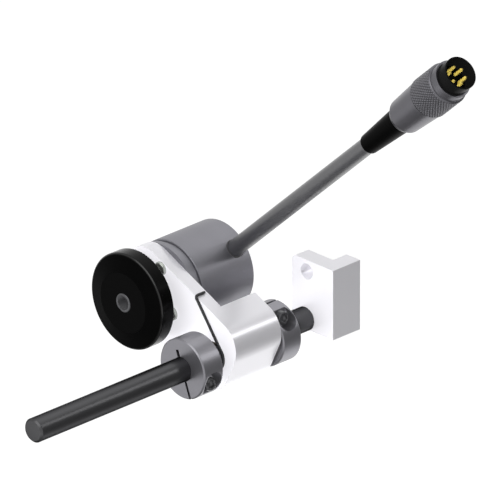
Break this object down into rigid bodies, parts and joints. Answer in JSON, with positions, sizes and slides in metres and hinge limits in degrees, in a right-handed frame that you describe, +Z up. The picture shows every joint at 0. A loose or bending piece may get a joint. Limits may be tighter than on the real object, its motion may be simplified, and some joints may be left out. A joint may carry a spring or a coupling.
{
  "type": "friction wheel encoder",
  "caption": "Rotary encoder with a friction wheel on a spring-loaded swing arm, carried by a guide rod with clamp collars and a mounting bracket, with a short cable and round connector.",
  "frame": {"origin": "centre of the bracket's hole, on the bracket's front face", "axes": "+Y rearward along the guide rod, +Z up from the rod to the bracket's hole, +X to the right"},
  "size_m": [0.1623, 0.165, 0.1637],
  "materials": {
    "bracket": "light satin, clear anodised",
    "arm": "light satin, clear anodised",
    "rod": "ground",
    "collar": "turned",
    "screw": "satin",
    "pan_screw": "zinc plated",
    "spring": "drawn wire",
    "bush": "sliding lining",
    "encoder_shell": "anodised, matte",
    "bearing": "ground",
    "shaft": "ground",
    "circlip": "phosphated",
    "wheel": "anodised black",
    "tyre": "ground rubber",
    "seal": "smooth",
    "code_disc": "clear",
    "disc_hub": "turned",
    "component": "moulded",
    "board": "lacquered",
    "post": "turned",
    "cable": "smooth jacket",
    "relief": "moulded",
    "exit_ring": "moulded",
    "clamp": "pressed",
    "connector_shell": "satin",
    "insert": "moulded",
    "contact": "gold plated"
  },
  "bodies": {
    "base": {"guide_rod": "rod", "mounting_bracket": "bracket", "bracket_screw": "screw", "front_collar": "collar", "front_collar_screw": "screw", "rear_collar": "collar", "rear_collar_screw": "screw", "torsion_spring": "spring"},
    "arm": {"swing_arm": "arm", "front_bush": "bush", "rear_bush": "bush", "encoder_flange": "encoder_shell", "encoder_housing": "encoder_shell", "flange_o_ring": "seal", "front_bearing_outer_ring": "bearing", "front_bearing_balls": "bearing", "rear_bearing_outer_ring": "bearing", "rear_bearing_balls": "bearing", "shaft_seal": "seal", "light_source": "component", "photo_sensor": "component", "circuit_board": "board", "board_posts": "post", "board_screws": "screw", "cable_exit_ring": "exit_ring", "cable_clamp": "clamp", "cable": "cable", "bend_relief": "relief", "connector_back_shell": "connector_shell", "connector_sleeve": "connector_shell", "connector_insert": "insert", "encoder_screw_1": "pan_screw", "encoder_screw_2": "pan_screw", "encoder_screw_3": "pan_screw", "encoder_screw_4": "pan_screw", "contact_pin_1": "contact", "contact_pin_2": "contact", "contact_pin_3": "contact", "contact_pin_4": "contact", "contact_pin_5": "contact", "contact_pin_6": "contact"},
    "wheel": {"encoder_shaft": "shaft", "shaft_circlip": "circlip", "code_disc_hub": "disc_hub", "code_disc": "code_disc", "front_bearing_inner_ring": "bearing", "rear_bearing_inner_ring": "bearing", "friction_wheel_hub": "wheel", "friction_tyre": "tyre", "wheel_set_screw": "screw"},
    "coupling": {"coupling_ring": "connector_shell"}
  },
  "joints": [
    {"name": "arm_swing", "type": "hinge", "parent": "base", "child": "arm", "pos_m": [0, -0.0385, -0.02], "axis": [0, 1, 0], "range_deg": [-10, 35], "stiffness_Nm_per_rad": 1.2, "springref_deg": 0.52, "deforming": ["torsion_spring"]},
    {"name": "wheel_spin", "type": "hinge", "parent": "arm", "child": "wheel", "pos_m": [-0.03507, -0.0611, -0.00364], "axis": [0, 1, 0], "continuous": true},
    {"name": "coupling_ring_turn", "type": "hinge", "parent": "arm", "child": "coupling", "pos_m": [0.0905, -0.018, 0.11243], "axis": [0.7343, 0, 0.6788], "continuous": true}
  ]
}
